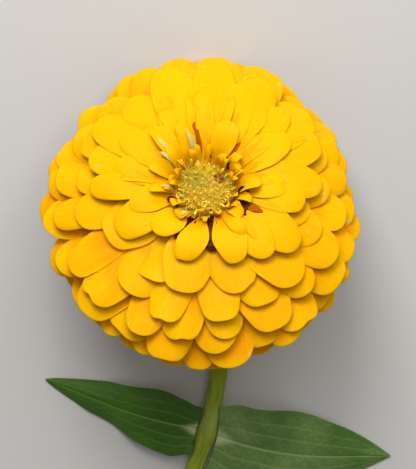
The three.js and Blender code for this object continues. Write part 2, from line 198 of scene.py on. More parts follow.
class Paint:
    def __init__(self, name, **settings):
        self.material = bpy.data.materials.new(name)
        self.material.use_nodes = True
        self.tree = self.material.node_tree
        self.shader = self.tree.nodes["Principled BSDF"]
        for socket, value in settings.items():
            self.put(self.shader.inputs[socket.replace("_", " ")], value)

    def put(self, socket, value):
        if isinstance(value, Value):
            self.tree.links.new(value.socket, socket)
        else:
            socket.default_value = value

    def node(self, kind, settings, sockets, output=0):
        made = self.tree.nodes.new(kind)
        for name, value in settings.items():
            setattr(made, name, value)
        for name, value in sockets.items():
            self.put(made.inputs[name], value)
        return Value(self, made.outputs[output])

    def set(self, socket, value):
        self.put(self.shader.inputs[socket], value)

    def place(self):
        return self.node("ShaderNodeTexCoord", {}, {}, "Object")

    def trait(self, name):
        return self.node("ShaderNodeAttribute", {"attribute_name": name}, {}, "Fac")

    def uv(self):
        split = self.node("ShaderNodeSeparateXYZ", {}, {0: self.node("ShaderNodeTexCoord", {}, {}, "UV")})
        return split.of("X"), split.of("Y")

    def vector(self, x, y, z):
        return self.node("ShaderNodeCombineXYZ", {}, {0: x, 1: y, 2: z})

    # Over the piece's own place unless where says otherwise.
    def noise(self, scale, detail, where=None, roughness=0.5):
        return self.node("ShaderNodeTexNoise", {}, {
            "Vector": where or self.place(), "Scale": scale, "Detail": detail, "Roughness": roughness})

    def cells(self, scale):
        return self.node("ShaderNodeTexVoronoi", {}, {"Vector": self.place(), "Scale": scale})

    def colour(self, share, first, second):
        sockets = {0: share}
        for index, value in ((6, first), (7, second)):
            sockets[index] = value if isinstance(value, Value) else (*value, 1)
        return self.node("ShaderNodeMix", {"data_type": "RGBA"}, sockets, 2)

    def bump(self, height, distance, strength=1):
        self.set("Normal", self.node("ShaderNodeBump", {}, {
            "Height": height, "Distance": distance * mm, "Strength": strength}))


# Light that sinks into a skin: how much of it, how deep and in which colour.
def sunkLight(share, depth, colour):
    return dict(Subsurface_Weight=share, Subsurface_Scale=depth, Subsurface_Radius=colour)


# A skin of two colours in patches.
def patchyPaint(name, scale, detail, edges, first, second, depth, **settings):
    paint = Paint(name, **settings)
    patches = paint.noise(scale, detail)
    paint.set("Base Color", paint.colour(patches.step(*edges), first, second))
    paint.bump(patches, depth)
    return paint.material


# Petals

# Pairs run from the lowest row to the innermost; stray is how far one petal departs from the next.
bloom = dict(
    rows=[16, 20, 21, 21, 21, 20, 17, 13], stagger=0.5,
    layers=[("backPetals", 0, 2), ("rimPetals", 2, 4), ("facePetals", 4, 6), ("crownPetals", 6, 8)],
    radius=51, depth=19.5, domeFront=23.5, domeBack=27, lopsided=0.03, oval=0.035,
    upperReach=0.07, upperSag=8, shoulder=0.06,
    tipAngle=(-38, 50), rootRadius=(10.5, 7.8), rootHeight=(-19, -4.8), leave=(-22, 58), arrive=(-46, 8),
    width=(17, 14.5), claw=(0.2, 0.16), arch=(2.6, 1.7), droop=(2.4, 1.2), channel=(0.7, 1.5),
    # The next pair sets where the painted shade of a petal's covered part ends, from the lowest row to the
    # innermost; the lowest rows are painted in shade almost to the tip.
    cover=(1.08, 0.46), paintedShadeCurve=1.5,
    blunt=2.5, round=0.84, notch=0.045, notchAt=0.5, notchCurve=2, ripple=0.42,
    stray=dict(place=0.18, row=0.03, reach=0.03, tip=0.9, arrive=9, width=0.18, roll=12, arch=0.5,
               droop=0.4, blunt=0.8, round=0.24, bend=1.4, ripple=1),
    columns=9, lengths=13, thickness=0.34,
)


# The petals of one row, staggered against the row below and none quite in its place.
def petalRow(row):
    share = row / (len(bloom["rows"]) - 1)
    count = bloom["rows"][row]
    petals = []
    for number in range(count):
        place = (number + bloom["stagger"] * row + bloom["stray"]["place"] * draw(row, number)) / count
        petals.append(petalTraits(100 * row + number, share, place))
    return petals


# What petal i of a kind has for itself.
def ownTraits(kind, i):
    stray = kind["stray"]
    return dict(
        blunt=kind["blunt"] + stray["blunt"] * draw(i, 8),
        round=kind["round"] + stray["round"] * draw(i, 11),
        bend=stray["bend"] * draw(i, 10),
        notch=kind["notch"] * max(0, draw(i, 12)) ** kind["notchCurve"],
        notchAt=kind["notchAt"] * draw(i, 13),
        ripple=kind["ripple"] * vary(stray["ripple"], i, 14),
        phase=pi * draw(i, 15),
        tone=draw(i, 9),
    )


def petalTraits(i, share, place):
    stray = bloom["stray"]
    t = min(1, max(0, share + stray["row"] * draw(i, 3)))
    turn = 2 * pi * place
    upper = max(0, sin(turn))
    lowest, innermost = bloom["tipAngle"]
    side = radians(mix(lowest, innermost - bloom["upperSag"] * t * t * upper, t))
    uneven = bloom["oval"] * sin(turn) ** 2 - bloom["lopsided"] * cos(turn)
    if turn < pi:
        uneven -= bloom["shoulder"] * sin(2 * turn) ** 2
    reach = 1 + stray["reach"] * draw(i, 1) + uneven + bloom["upperReach"] * upper
    dome = bloom["domeFront"] if side > 0 else bloom["domeBack"]
    height = dome * sin(side) - bloom["depth"] + stray["tip"] * draw(i, 2)

    def inRow(trait):
        return mix(*bloom[trait], t)

    return dict(
        turn=turn,
        root=(inRow("rootRadius"), inRow("rootHeight")),
        tip=(bloom["radius"] * cos(side) * reach, height),
        leave=radians(inRow("leave")),
        arrive=radians(inRow("arrive")) + radians(stray["arrive"]) * draw(i, 4),
        width=inRow("width") * vary(stray["width"], i, 5),
        claw=inRow("claw"), channel=inRow("channel"),
        roll=radians(stray["roll"]) * draw(i, 6),
        arch=inRow("arch") * vary(stray["arch"], i, 7),
        droop=inRow("droop") * vary(stray["droop"], i, 16),
        cover=mix(*bloom["cover"], t ** bloom["paintedShadeCurve"]),
        **ownTraits(bloom, i),
    )


# The innermost petals stand round the disc in no order. Each line gives the way a petal points in the
# picture, from its right anticlockwise, then its reach, width, tip height, slope at the tip, roll, arch and
# share of its width at the root, and for some how far the tip bends sideways. A negative arch curls the edges
# up and shows the pale back.
heart = dict(
    root=(8.6, -4.4), leave=60, droop=0.8, channel=0.2, blunt=2.3, round=0.9, notch=0.04, notchCurve=1,
    notchAt=0.5, ripple=0.35, cover=0.3, firstDraw=2000,
    stray=dict(droop=0.6, blunt=0.5, round=0.2, bend=1.2, ripple=0),
    columns=7, lengths=11, thickness=0.3,
    broad=[
        (146, 43, 14.5, -3.2, -16, 5, 1.2, 0.5),
        (107, 45, 15.5, -1.6, -8, 4, 1, 0.5),
        (87, 44.5, 16, -1.8, -8, -3, 1, 0.5),
        (63, 43.5, 15.5, -2.4, -12, 4, 1.1, 0.5),
        (37, 43, 14.5, -3.4, -16, -4, 1.2, 0.5),
        (181, 36.5, 10.5, -0.4, -18, -6, 1.2, 0.4),
        (161, 38.5, 14.5, -1.4, -16, 6, 1.3, 0.5),
        (128, 39.5, 13.5, -1.2, -12, -6, 1, 0.5),
        (110, 33.5, 12.5, 1.6, -8, 6, 0.9, 0.5),
        (91, 34.5, 10.5, 1.8, -8, -6, 0.8, 0.5),
        (72, 37.5, 14.5, 0.6, -8, 6, 0.9, 0.5),
        (47, 37, 14, 0, -10, -8, 1, 0.5),
        (25, 40.5, 15, -2, -14, 6, 1.1, 0.5),
        (4, 37, 13, -1, -16, 5, 1.2, 0.5),
        (325, 35.5, 14, -0.8, -20, -3, 1.3, 0.2),
        (311, 31, 11.5, 0.8, -22, 4, 1.2, 0.3),
        (207, 31.5, 12.5, 0.2, -20, -5, 1.2, 0.5),
        (147, 31, 10.5, 2, -12, 6, 1, 0.5),
        (169, 29.5, 9.5, 2.4, -14, -6, 1.1, 0.5),
        (31, 31, 12, 2.6, -10, -6, 1.1, 0.4),
        (1, 27.5, 10.5, 3, -12, -8, 1.4, 0.4),
        (349, 32, 10.5, 1.6, -16, 6, 1.2, 0.2),
        (294, 28, 11, 2.2, -22, 4, 1.3, 0.12, -1.2),
        (263, 26.4, 9.8, 2.4, -24, -3, 1.5, 0.12, -3.4),
        (231, 22.8, 10.2, 3, -24, 8, 1.3, 0.12, -1.5),
        (195, 24.8, 9.2, 3, -16, -8, 1.4, 0.4),
    ],
    small=[
        (184, 17.5, 3.8, 4.4, -6, 22, -1.2, 0.5),
        (217, 13, 3.8, 3.8, -26, 34, -1.4, 0.4),
        (234, 14.6, 4.4, 3.8, -22, 30, -1, 0.3),
        (272, 13.2, 1.6, 3.2, -30, -14, -0.3, 0.4),
        (303, 21.8, 4.6, 3.9, -24, 16, 0.8, 0.4),
        (319, 16, 4.4, 3.2, -14, 12, -1.5, 0.3),
        (341, 16, 2.8, 4.4, -8, -20, -0.6, 0.5),
        (359, 17.6, 6.2, 5.2, -6, -16, -2.4, 0.4),
        (28, 12.6, 3, 4.4, 0, 20, -1.3, 0.4),
        (44, 14.5, 3.2, 5, 4, -20, -1.2, 0.4),
        (68, 22, 8.6, 5.6, -4, -4, 0.6, 0.3),
        (88, 26, 6.6, 4.6, -2, 10, 0.7, 0.5),
        (112, 21.5, 5.2, 5.4, -2, -16, -1, 0.5),
        (130, 24.5, 7, 4.6, -6, 14, -0.6, 0.5),
        (135, 16.6, 5, 5.2, 2, -14, -1.6, 0.4),
        (158, 18.5, 5, 4.6, -6, -14, -0.8, 0.5),
    ],
    # Edges that fold over and show the pale back.
    folds=[
        (106, 19.6, 1.7, 5.9, 0, 20, -0.2, 0.7, 0.5),
        (134, 23.6, 1.1, 5.2, -6, 10, -0.2, 0.7, 0.8),
        (143, 17.4, 1.5, 5.6, 0, 20, -0.2, 0.7, 0.5),
        (353, 16.6, 1.9, 5.2, -6, -20, -0.2, 0.7, 0),
        (238, 14.2, 2.1, 5.2, -22, 20, -0.2, 0.6, 0),
        (186, 14, 2, 5.2, -6, 20, -0.2, 0.6, 0),
    ],
    # Dark orange slivers put in the clefts between petals, where there is only shade: painted shadow.
    shadowSlivers=[
        (102, 21.6, 3.2, 4.7, -2, 0, -0.1, 0.7, -1),
        (52, 19, 1.2, 3.3, -4, 0, -0.1, 0.7, 0),
        (330, 21.4, 3.8, 2.7, -14, 0, -0.1, 0.6, 0.8),
    ],
    # Dark scales in the gaps.
    paleae=[
        (247, 20.5, 5.4, 1.7, -18, 0, -0.3, 0.6),
        (277, 22.5, 5.4, 1.9, -18, 0, -0.3, 0.6),
        (328, 18, 4.2, 2.4, -10, 0, -0.3, 0.5),
        (350, 14, 2, 3.6, -4, 0, -0.3, 0.5),
        (43, 13.4, 1.6, 3.4, -4, 0, -0.3, 0.5),
        (208, 13, 2.4, 2.4, -12, 0, -0.3, 0.5),
    ],
)


def heartTraits(j, petal):
    turn, reach, width, height, slope, roll, arch, claw, *bend = petal
    i = heart["firstDraw"] + j
    traits = dict(
        turn=radians(turn), root=heart["root"], tip=(reach, height),
        leave=radians(heart["leave"]), arrive=radians(slope),
        width=width, claw=claw, channel=heart["channel"] * width,
        roll=radians(roll), arch=arch, droop=heart["droop"] * vary(heart["stray"]["droop"], i, 16),
        cover=heart["cover"],
        **ownTraits(heart, i),
    )
    if bend:
        traits["bend"] = bend[0]
    return traits


# Folds and the painted-shadow slivers are narrow, with a drawn-out point.
sliver = dict(blunt=1.5, round=4, ripple=0, channel=0.2)
foldShape = dict(columns=4, lengths=9, thickness=0.25)
shadowSliverShape = dict(columns=4, lengths=9, thickness=0.2)
darkScaleShape = dict(columns=4, lengths=8, thickness=0.2)


def sliverTraits(j, petal):
    return {**heartTraits(j, petal), **sliver}


# Little crooked bits that crowd round the disc. Pairs are a middle and how far it strays.
bits = dict(
    count=24, astray=0.8, reach=(11.6, 2.2), width=(2.2, 1.1), height=(3.4, 1.4), slope=(5, 45), roll=(0, 40),
    arch=(-0.6, 1.2), claw=0.6, blunt=(1.5, 0.5), round=1.3, bend=(0, 2.2), firstDraw=100,
    columns=4, lengths=8, thickness=0.25,
)


def bitTraits(j):
    def about(trait, k):
        middle, spread = bits[trait]
        return middle + spread * draw(j, k)

    turn = 360 * (j + bits["astray"] * draw(j, 91)) / bits["count"]
    petal = (turn, about("reach", 92), about("width", 93), about("height", 94), about("slope", 95),
             about("roll", 96), about("arch", 97), bits["claw"], about("bend", 99))
    return {**heartTraits(bits["firstDraw"] + j, petal), "blunt": about("blunt", 98), "round": bits["round"]}


# What all petals share: the reach of the middle line's two handles, where the petal is widest, how it narrows
# to its tip, its lengthwise folds and the waves of its edge. Crowd and rush set the spacing of the grid.
petalForm = dict(
    away=0.42, into=0.4, slack=1.1, widest=0.8, clawCurve=1.05, tipTaper=0.12, notchWidth=0.16, crowd=0.6,
    rush=1.3, cupCurve=1.5, foldDepth=0.13, folds=7.5, waves=8.5, waveSkew=2.4, droopFrom=0.74,
)


# A petal's middle line in the plane through the bloom's axis, and its slope there.
def middleLine(petal, s):
    (r0, z0), (r3, z3) = petal["root"], petal["tip"]
    span = hypot(r3 - r0, z3 - z0)
    away, into = petalForm["away"] * span, petalForm["into"] * span
    start, end = Vector((r0, z0)), Vector((r3, z3))
    first = start + away * Vector((cos(petal["leave"]), sin(petal["leave"])))
    second = end - into * Vector((cos(petal["arrive"]), sin(petal["arrive"])))
    u = 1 - s
    place = u ** 3 * start + 3 * s * u * u * first + 3 * s * s * u * second + s ** 3 * end
    ahead = u * u * (first - start) + 2 * s * u * (second - first) + s * s * (end - second)
    return place, ahead.normalized()


def halfWidth(petal, along):
    widest = petalForm["widest"]
    full = petal["width"] / 2
    if along < widest:
        return full * (petal["claw"] + (1 - petal["claw"]) * ease(along / widest) ** petalForm["clawCurve"])
    return full * (1 - petalForm["tipTaper"] * ((along - widest) / (1 - widest)) ** 2)


# How far the petal reaches along a column: less towards its edges, and less in its notch.
def tipReach(petal, across):
    (r0, z0), (r3, z3) = petal["root"], petal["tip"]
    length = petalForm["slack"] * hypot(r3 - r0, z3 - z0)
    cap = petal["round"] * petal["width"] / 2 / length
    notch = petal["notch"] * exp(-((across - petal["notchAt"]) / petalForm["notchWidth"]) ** 2)
    return 1 - cap * (1 - sqrt(max(0, 1 - abs(across) ** petal["blunt"]))) - notch


def petalPoint(petal, across, along):
    form, phase = petalForm, petal["phase"]
    across = form["crowd"] * sin(across * pi / 2) + (1 - form["crowd"]) * across
    along = 1 - (1 - along) ** form["rush"]
    half = halfWidth(petal, along)
    reached = along * tipReach(petal, across)
    centre, ahead = middleLine(petal, reached)
    cup = petal["arch"] * reached ** form["cupCurve"] - petal["channel"] * (1 - reached) ** form["cupCurve"]
    rise = across * half * tan(petal["roll"]) * reached
    rise -= cup * across ** 2 * sqrt(2 * half / petal["width"])
    rise += form["foldDepth"] * cos(form["folds"] * across + phase) * ease(3 * along) * (1 - along ** 4)
    edgeWave = sin(form["waves"] * along + form["waveSkew"] * across + phase)
    rise += petal["ripple"] * abs(across) ** 3 * edgeWave * along
    rise -= petal["droop"] * max(0, (reached - form["droopFrom"]) / (1 - form["droopFrom"])) ** 2
    side = across * half + petal["bend"] * reached ** 2
    flat = Vector((centre.x - ahead.y * rise, side, centre.y + ahead.x * rise))
    return Matrix.Rotation(petal["turn"], 3, "Z") @ flat


# A soft petal that reaches the surface bends along it.
surface = dict(rest=0.5, soft=1.4)


def pressOnSurface(bm):
    rest, soft = surface["rest"] * mm, surface["soft"] * mm
    for vert in bm.verts:
        if vert.co.z < soft:
            vert.co.z = rest + (soft - rest) * exp((vert.co.z - soft) / (soft - rest))


def growPetals(name, petals, shape, materials):
    bm = meshWithMap("petalMap")
    tone = bm.verts.layers.float.new("tone")
    # Each petal carries where its painted shade ends.
    cover = bm.verts.layers.float.new("cover")
    for petal in petals:
        traits = [(tone, petal["tone"]), (cover, petal["cover"])]
        mappedGrid(bm, shape["columns"], shape["lengths"], lambda a, s: petalPoint(petal, a, s), traits)
    bm.transform(bloomFrame)
    pressOnSurface(bm)
    made = finish(name, bm, materials, "ray_florets")
    thicken(made, shape["thickness"], 1)
    smooth(made)


# How strongly each pattern shows on a petal. Two are painted light: the painted shade of the part under the
# next row, and the paler rim, which is a painted highlight.
pattern = dict(streaks=0.22, blotches=0.16, tone=0.16, covered=0.46, rim=0.35, worn=0.4,
               wornTip=(0.98, 0.78, 0.34))
# The light, deep, root and rim colours of each skin. The paler rim colour along the edges and tip is a
# painted highlight.
petalColours = dict(
    petalFace=((0.98, 0.51, 0), (0.92, 0.31, 0), (0.82, 0.24, 0), (1, 0.58, 0.005)),
    heartFace=((0.98, 0.51, 0), (0.93, 0.38, 0), (0.90, 0.38, 0), (1, 0.58, 0.005)),
    petalBack=((0.92, 0.50, 0.02), (0.86, 0.38, 0.01), (0.74, 0.48, 0.08), (0.96, 0.62, 0.07)),
    heartBack=((0.72, 0.66, 0.25), (0.66, 0.58, 0.16), (0.50, 0.54, 0.20), (0.86, 0.80, 0.45)),
    foldedEdge=((0.72, 0.58, 0.21), (0.62, 0.48, 0.12), (0.50, 0.42, 0.10), (0.80, 0.69, 0.33)),
    # The dark orange of the slivers in the clefts between petals is a painted shadow.
    shadowSliverSkin=((0.46, 0.11, 0), (0.34, 0.06, 0), (0.26, 0.04, 0), (0.56, 0.17, 0)),
)


def petalPaint(name, light, deep, root, rim):
    paint = Paint(name, Roughness=0.5, Specular_IOR_Level=0.05, **sunkLight(0.25, 0.0014, (1, 0.42, 0.02)))
    u, v = paint.uv()
    tone = paint.trait("tone")
    across = abs(u * 2 - 1)
    streaks = paint.noise(1, 3, paint.vector(u * 26, v * 1.6, tone * 9), 0.6)
    blotches = paint.noise(90, 2)
    depth = streaks.step(0.35, 0.75) * pattern["streaks"] + blotches.step(0.35, 0.7) * pattern["blotches"]
    depth = depth + (tone * 0.5 + 0.5) * pattern["tone"]
    # The part that the next row covers is painted deeper: painted shade where the upper petal shadows it.
    depth = depth + (v - paint.trait("cover")).step(0.09, -0.07) * pattern["covered"]
    colour = paint.colour(depth, light, deep)
    colour = paint.colour(v.step(0.5, 0.1), colour, root)
    # Edges and tip are painted paler: a painted highlight.
    edge = across.step(0.82, 1).most(v.step(0.94, 1))
    colour = paint.colour(edge * pattern["rim"], colour, rim)
    worn = paint.noise(1, 3, paint.vector(u * 5, v * 4, tone * 31)).step(0.64, 0.8) * v.step(0.7, 0.92)
    paint.set("Base Color", paint.colour(worn * pattern["worn"], colour, pattern["wornTip"]))
    paint.set("Roughness", streaks * 0.2 + 0.42)
    fine = paint.noise(1, 2, paint.vector(u * 60, v * 5, tone * 9))
    paint.bump(streaks * 0.7 + fine * 0.3, 0.16, 0.5)
    return paint.material


petalPaints = {name: petalPaint(name, *colours) for name, colours in petalColours.items()}
heartPaints = [petalPaints["heartFace"], petalPaints["heartBack"]]


# The petals that a list in heart describes.
def listed(traits, *names):
    return [traits(*item) for item in enumerate(petal for name in names for petal in heart[name])]


for layerName, first, last in bloom["layers"]:
    petals = [petal for row in range(first, last) for petal in petalRow(row)]
    growPetals(layerName, petals, bloom, [petalPaints["petalFace"], petalPaints["petalBack"]])
growPetals("heartPetals", listed(heartTraits, "broad", "small"), heart, heartPaints)
growPetals("crookedBits", [bitTraits(j) for j in range(bits["count"])], bits, heartPaints)
growPetals("paleFolds", listed(sliverTraits, "folds"), foldShape, [petalPaints["foldedEdge"]] * 2)
# Dark orange slivers in the clefts between petals: painted shadow.
growPetals("paintedShadowSlivers", listed(sliverTraits, "shadowSlivers"), shadowSliverShape, [petalPaints["shadowSliverSkin"]] * 2)
print("petals grown")


# Receptacle: the solid heart that carries the petals, dark and chaffy where it shows between them

# Pairs run from the lowest scale to the highest.
receptacle = dict(
    profile=[(0, -21), (8, -21), (11.2, -20.6), (11.8, -19.2), (11.7, -17), (11, -12), (10.4, -7),
             (10.1, -4.6), (9.6, -3.6), (8.8, -3.3), (8.6, -4.4), (0, -4.6)],
    steps=48, scales=190, ring=(10.6, 9.2), foot=(-7.5, -4), lean=(30, 62), leanStray=16, width=1.3,
    length=3.2, thickness=0.12, dark=(0.035, 0.008, 0.004), warm=(0.16, 0.035, 0.008),
)


def chaffPaint(name, dark, warm):
    return patchyPaint(name, 900, 3, (0.35, 0.7), dark, warm, 0.3, Roughness=0.7, Specular_IOR_Level=0.1)


def makeChaffScales(chaff):
    bm = meshWithMap("scaleMap")
    for i in range(receptacle["scales"]):
        share = i / receptacle["scales"]
        turn = Matrix.Rotation(i * goldenAngle, 3, "Z")
        radius, foot = mix(*receptacle["ring"], share), mix(*receptacle["foot"], share)
        width = receptacle["width"] * vary(0.3, i, 31)
        length = receptacle["length"] * (1.2 + 0.6 * draw(i, 32))
        lean = radians(mix(*receptacle["lean"], share) + receptacle["leanStray"] * draw(i, 33))

        def scalePoint(a, s):
            across = a * width / 2 * (1 - s ** 3) ** 0.5
            out = radius + s * length * cos(lean) - 0.3 * a * a
            return turn @ Vector((out, across, foot + s * length * sin(lean)))
        mappedGrid(bm, 2, 4, scalePoint)
    made = finish("chaffScales", bm, [chaff], "ray_florets", bloomFrame)
    thicken(made, receptacle["thickness"])


chaff = chaffPaint("chaff", receptacle["dark"], receptacle["warm"])
turnedPiece("receptacleCore", receptacle["profile"], receptacle["steps"], chaff, "ray_florets")
makeChaffScales(chaff)
growPetals("darkScales", listed(heartTraits, "paleae"), darkScaleShape, [chaff, chaff])


# Disc: a low dome crowded with fringed scales, curled strands and a few open florets

disc = dict(
    profile=[(0, -4.4), (6.8, -4.4), (7.0, -3.2), (6.5, -1.9), (5.3, -0.8), (3.6, 0.0), (1.7, 0.4), (0, 0.5)],
    steps=40, radius=7.6, crown=0.5, fall=3.4, fallCurve=2.6, clumps=0.45,
    tuft=radians(114), tuftHeight=1.7, tuftFocus=8,
)
hollow = dict(place=(4.2, 3.2), radius=1.9, profile=[(0, 1.2), (1.0, 1.1), (1.5, 0.7), (1.8, -0.4)], steps=12,
              dark=(0.16, 0.035, 0.006), warm=(0.50, 0.20, 0.02))
buds = dict(count=44, radius=0.6, height=0.8, profile=[(0, 1), (0.55, 0.93), (0.95, 0.7), (1, 0)], steps=7,
            lean=30)
scales = dict(count=60, crowding=0.5, width=0.6, length=(1.6, 2.6), upright=4, outward=30, leanStray=46,
              twist=80, sunk=0.4, tooth=0.16, bend=0.5, cup=0.3, thickness=0.06)
strands = dict(count=2800, spin=1.1, length=(1.7, 2.3), lean=40, curl=(3.2, 2.2), thick=0.048, sunk=0.3)
fringe = dict(count=700, length=(2.6, 0.9), lean=(18, 34), curl=(0.9, 2.4), thick=0.055, foot=-3.4,
              scatter=0.9, tuftShare=0.8, spin=3.1)
strandForm = dict(sides=3, rings=5, taper=0.55, batch=100)
florets = dict(
    profile=[(0.42, 0), (0.5, 1.0), (0.62, 1.8), (0.95, 2.15), (1.35, 2.05)], steps=10, throat=0.62, lip=0.73,
    lobes=5, lobeCut=0.3, lobeDroop=0.35, lift=0.4, thickness=0.14,
    # The way each points in the picture, its distance from the middle and its lean outwards.
    placed=[(221, 6.6, 34), (268, 5.6, 20), (283, 7.0, 34), (196, 7.4, 44), (338, 6.8, 40)],
)


# How tall the disc is at a place: it grows in clumps, and nothing stands in the hollow.
def tousled(radius, angle):
    x, y = radius * cos(angle), radius * sin(angle)
    if dist((x, y), hollow["place"]) < hollow["radius"]:
        return 0
    return 1 + disc["clumps"] * sin(1.5 * x + 0.9 * y + 0.6) * sin(1.3 * y - 0.7 * x + 1.1)


def discHeightAt(radius):
    return disc["crown"] - disc["fall"] * (radius / disc["radius"]) ** disc["fallCurve"]


# The disc's border isn't round.
def borderAt(angle):
    return 1 + 0.05 * sin(2 * angle + 0.4) + 0.06 * sin(5 * angle + 1.3)


# The place of something that leans outwards on the disc.
def onDisc(angle, radius, lift, lean):
    place = Matrix.Rotation(angle, 4, "Z") @ Matrix.Translation((radius, 0, discHeightAt(radius) + lift))
    return place @ Matrix.Rotation(lean, 4, "Y")


# The scales stand taller in a tuft on the disc's upper side.
def tuftAt(angle, share):
    return 1 + disc["tuftHeight"] * share * max(0, cos(angle - disc["tuft"])) ** disc["tuftFocus"]


def budPaint():
    paint = Paint("discBud", Roughness=0.6, **sunkLight(0.2, 0.0006, (1, 0.7, 0.15)))
    patches = paint.noise(330, 2)
    specks = paint.noise(1500, 2)
    colour = paint.colour(patches.step(0.4, 0.6), (0.66, 0.50, 0.04), (0.88, 0.54, 0.02))
    paint.set("Base Color", paint.colour(specks.step(0.55, 0.75) * 0.7, colour, (0.50, 0.20, 0.01)))
    paint.bump(specks, 0.25)
    return paint.material


def scalePaint():
    paint = Paint("discScale", Roughness=0.6, **sunkLight(0.25, 0.0006, (1, 0.8, 0.2)))
    _, v = paint.uv()
    patches = paint.noise(420, 2)
    greener = paint.noise(150, 1)
    colour = paint.colour(v.step(0, 0.4), (0.86, 0.53, 0.012), (0.98, 0.80, 0.035))
    colour = paint.colour(v.step(0.6, 1), colour, (0.99, 0.80, 0.04))
    colour = paint.colour(patches.step(0.5, 0.75) * 0.5, colour, (0.95, 0.54, 0.02))
    paint.set("Base Color", paint.colour(greener.step(0.48, 0.6) * 0.65, colour, (0.68, 0.61, 0.06)))
    paint.bump(patches, 0.1)
    return paint.material


def finishDisc(name, bm, material):
    return finish(name, bm, [material], "disc_florets", bloomFrame)


def makeBuds(paint):
    bm = bmesh.new()
    for i in range(buds["count"]):
        share = sqrt((i + 0.5) / buds["count"])
        radius = (disc["radius"] - buds["radius"]) * share
        angle = i * goldenAngle
        if not tousled(radius, angle):
            continue
        wide = buds["radius"] * vary(0.25, i, 81)
        tall = buds["height"] * vary(0.5, i, 82)
        bud = bmesh.new()
        spinProfile(bud, [(wide * out, tall * up) for out, up in buds["profile"]], buds["steps"])
        lean = radians(buds["lean"]) * share ** 2 + 0.3 * draw(i, 83)
        bud.transform(onDisc(angle, radius, 0, lean))
        gather(bm, bud)
    closeUp(bm, 1e-3)
    smooth(finishDisc("discBuds", bm, paint))


def makeFringedScales(paint):
    bm = meshWithMap("scaleMap")
    for i in range(scales["count"]):
        share = sqrt(mix((i + 0.5) / scales["count"], 1, scales["crowding"]))
        radius = disc["radius"] * share
        angle = i * goldenAngle
        if not tousled(radius, angle):
            continue
        turn = Matrix.Rotation(angle, 3, "Z")
        twist = Matrix.Rotation(radians(scales["twist"]) * draw(i, 44), 3, "Z")
        lean = scales["upright"] + scales["outward"] * share ** 2
        lean = radians(lean + scales["leanStray"] * draw(i, 41))
        length = mix(*scales["length"], share ** 1.5) * vary(0.3, i, 42) * tuftAt(angle, share)
        width = scales["width"] * vary(0.35, i, 43)
        foot = Vector((radius, 0, discHeightAt(radius) - scales["sunk"]))

        def scalePoint(a, s):
            tooth = scales["tooth"] * length * cos(4 * pi * a) * s ** 6
            along = s * length + tooth
            bent = lean + scales["bend"] * s * draw(i, 45)
            middle = Vector((along * sin(bent) - scales["cup"] * a * a, 0, along * cos(bent)))
            return turn @ (foot + middle + twist @ Vector((0, a * width / 2 * (0.5 + 0.5 * s), 0)))
        mappedGrid(bm, 4, 4, scalePoint)
    thicken(finishDisc("discScales", bm, paint), scales["thickness"])


# A slim strand along a curl, from a grid that closes on itself.
def strand(bm, angle, spin, foot, lean, length, curl, thick):
    spin = Matrix.Rotation(spin, 3, "Z")
    turn = Matrix.Rotation(angle, 3, "Z") @ spin
    foot = spin.inverted() @ Vector(foot)

    def strandPoint(a, s):
        bent = lean + curl * s
        reach = length * (sin(bent) - sin(lean)) / curl
        rise = length * (cos(lean) - cos(bent)) / curl
        around = pi * a
        wide = thick * (1 - strandForm["taper"] * s)
        out = Vector((cos(bent), 0, sin(bent)))
        ring = wide * (out * cos(around) + Vector((0, 1, 0)) * sin(around))
        return turn @ (foot + Vector((-rise, 0, reach)) + ring)
    mappedGrid(bm, strandForm["sides"], strandForm["rings"], strandPoint)


def discStrand(bm, i):
    share = sqrt((i + 0.5) / strands["count"])
    angle = i * goldenAngle + strands["spin"]
    radius = disc["radius"] * share * vary(0.08, i, 56) * borderAt(angle)
    height = tousled(radius, angle)
    if height:
        foot = (radius, 0.4 * draw(i, 51), discHeightAt(radius) - strands["sunk"])
        lean = radians(strands["lean"]) * draw(i, 54) + 0.01
        length = height * mix(*strands["length"], share) * vary(0.35, i, 53) * tuftAt(angle, share)
        curl, more = strands["curl"]
        strand(bm, angle, pi * draw(i, 52), foot, lean, length, curl + more * draw(i, 55), strands["thick"])


def fringeStrand(bm, i):
    angle = i * goldenAngle + 0.5 * draw(i, 101)
    radius = disc["radius"] * borderAt(angle) + fringe["scatter"] * draw(i, 102)
    (length, longer), (lean, outward), (curl, more) = fringe["length"], fringe["lean"], fringe["curl"]
    length = tuftAt(angle, fringe["tuftShare"]) * (length + longer * draw(i, 104))
    strand(bm, angle, fringe["spin"] * draw(i, 103), (radius, 0, fringe["foot"]),
           radians(lean + outward * draw(i, 105)), length, curl + more * abs(draw(i, 106)), fringe["thick"])


# Doubles are merged batch by batch, which is far quicker than in the whole.
def makeStrands(paint):
    bm = meshWithMap("scaleMap")
    for addStrand, count in ((discStrand, strands["count"]), (fringeStrand, fringe["count"])):
        for first in range(0, count, strandForm["batch"]):
            part = meshWithMap("scaleMap")
            for i in range(first, first + strandForm["batch"]):
                addStrand(part, i)
            closeUp(part)
            gather(bm, part)
    finishDisc("discStrands", bm, paint)


def makeHollow():
    place = Matrix.Translation((*hollow["place"], discHeightAt(hypot(*hollow["place"]))))
    brown = chaffPaint("hollowBrown", hollow["dark"], hollow["warm"])
    turnedPiece("discHollow", hollow["profile"], hollow["steps"], brown, "disc_florets",
                bloomFrame @ place)


# A tube whose mouth opens in lobes.
def openFloret():
    floret = bmesh.new()
    spinProfile(floret, florets["profile"], florets["steps"])
    for vert in floret.verts:
        x, y, z = vert.co
        out = max(0, hypot(x, y) - florets["throat"]) / florets["lip"]
        lobe = cos(florets["lobes"] * atan2(y, x))
        shrink = 1 - out * florets["lobeCut"] * (1 - lobe) / 2
        vert.co = (x * shrink, y * shrink, z - florets["lobeDroop"] * out * (1 + lobe) / 2)
    return floret


def makeFlorets(paint):
    bm = bmesh.new()
    for turn, radius, lean in florets["placed"]:
        floret = openFloret()
        floret.transform(onDisc(radians(turn), radius, florets["lift"], radians(lean)))
        gather(bm, floret)
    made = finishDisc("openFlorets", bm, paint)
    thicken(made, florets["thickness"])
    smooth(made)


